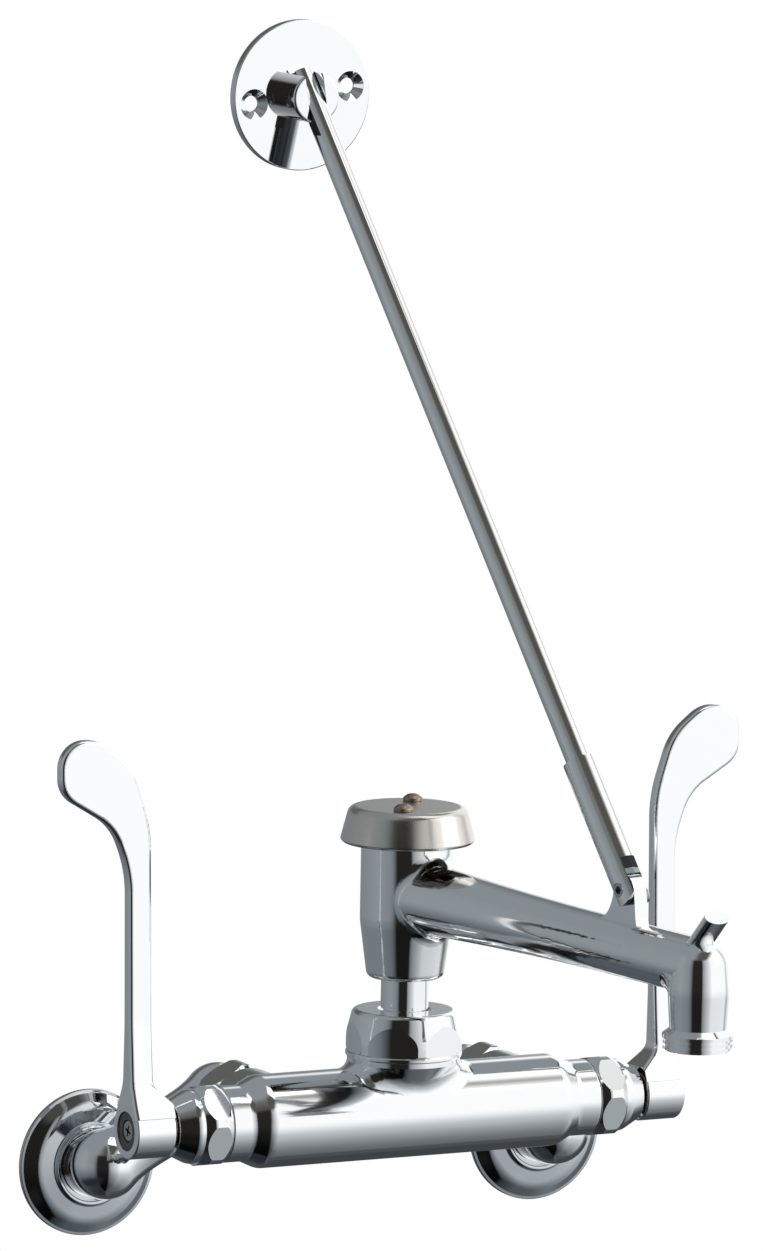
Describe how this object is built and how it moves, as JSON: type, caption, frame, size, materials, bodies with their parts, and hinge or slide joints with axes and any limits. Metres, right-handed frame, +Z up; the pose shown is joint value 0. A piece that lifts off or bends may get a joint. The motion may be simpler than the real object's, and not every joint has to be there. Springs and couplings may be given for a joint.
{
  "type": "wall faucet",
  "caption": "Wall-mounted service sink faucet with wrist-blade levers, a vacuum breaker above the swinging spout, a threaded hose outlet, a pail hook and a wall brace.",
  "frame": {"origin": "on the wall's face, midway between the axes of the supply inlets", "axes": "+X to the right along the wall, +Y into the wall, +Z up"},
  "size_m": [0.303, 0.2668, 0.4868],
  "materials": {
    "chrome": "polished chrome plate",
    "satin_nickel": "satin plate with a slightly warm tone",
    "bronze": "dull bronze",
    "bare_brass": "turned, unplated",
    "bare_steel": "plain steel",
    "black_plastic": "smooth matt",
    "ceramic": "lapped ceramic",
    "rubber": "moulded rubber",
    "pale_plastic": "moulded acetal"
  },
  "bodies": {
    "valve_body": {"faucet_body": "chrome", "wall_flange_left": "chrome", "wall_flange_right": "chrome", "inlet_arm_left": "chrome", "inlet_arm_right": "chrome", "union_nut_left": "chrome", "union_nut_right": "chrome", "union_washer_left": "rubber", "union_washer_right": "rubber", "cartridge_body_left": "bare_brass", "cartridge_body_right": "bare_brass", "cartridge_oring_left": "rubber", "cartridge_oring_right": "rubber", "seat_seal_left": "rubber", "seat_seal_right": "rubber", "fixed_disc_left": "ceramic", "fixed_disc_right": "ceramic", "bonnet_nut_left": "chrome", "bonnet_nut_right": "chrome", "nut_slip_ring": "chrome", "spout_nut": "chrome"},
    "left_handle": {"handle_left": "chrome", "cartridge_stem_left": "bare_brass", "turning_disc_left": "ceramic", "index_ring_left": "black_plastic", "handle_screw_left": "bare_steel"},
    "right_handle": {"handle_right": "chrome", "cartridge_stem_right": "bare_brass", "turning_disc_right": "ceramic", "index_ring_right": "black_plastic", "handle_screw_right": "bare_steel"},
    "spout": {"spout_stem": "chrome", "stem_orings": "rubber", "retaining_ring": "bare_steel", "spout_body": "chrome", "breaker_seat": "bare_brass", "bonnet_gasket": "rubber", "breaker_bonnet": "bare_brass", "breaker_cap": "satin_nickel", "cap_screws": "bronze"},
    "poppet_valve": {"poppet": "pale_plastic", "poppet_washer": "rubber"},
    "brace_sleeve": {"brace_tube": "chrome", "clevis_pin": "bare_steel"},
    "brace_bar": {"brace_rod": "chrome"},
    "wall_bracket": {"brace_flange": "chrome", "bracket_pin": "bare_steel"}
  },
  "joints": [
    {"name": "left_handle_turn", "type": "hinge", "parent": "valve_body", "child": "left_handle", "pos_m": [-0.1172, -0.079, 0.0275], "axis": [1, 0, 0], "range_deg": [0, 90]},
    {"name": "right_handle_turn", "type": "hinge", "parent": "valve_body", "child": "right_handle", "pos_m": [0.1172, -0.079, 0.0275], "axis": [1, 0, 0], "range_deg": [0, 90]},
    {"name": "spout_swing", "type": "hinge", "parent": "valve_body", "child": "spout", "pos_m": [0, -0.079, 0.0595], "axis": [0, 0, 1], "range_deg": [-72, 48]},
    {"name": "poppet_lift", "type": "slide", "parent": "spout", "child": "poppet_valve", "axis": [0, 0, 1], "range_m": [0, 0.0035]},
    {"name": "brace_tilt", "type": "hinge", "parent": "spout", "child": "brace_sleeve", "pos_m": [0.02828, -0.21203, 0.13558], "axis": [0.9781, 0.2079, 0], "range_deg": [-30, 45]},
    {"name": "brace_length", "type": "slide", "parent": "brace_sleeve", "child": "brace_bar", "axis": [-0.1196, 0.5628, 0.8179], "range_m": [-0.006, 0.016]},
    {"name": "bracket_tilt", "type": "hinge", "parent": "brace_bar", "child": "wall_bracket", "pos_m": [-0.01435, -0.0115, 0.427], "axis": [0.9895, 0, 0.1447], "range_deg": [-25, 5]}
  ]
}
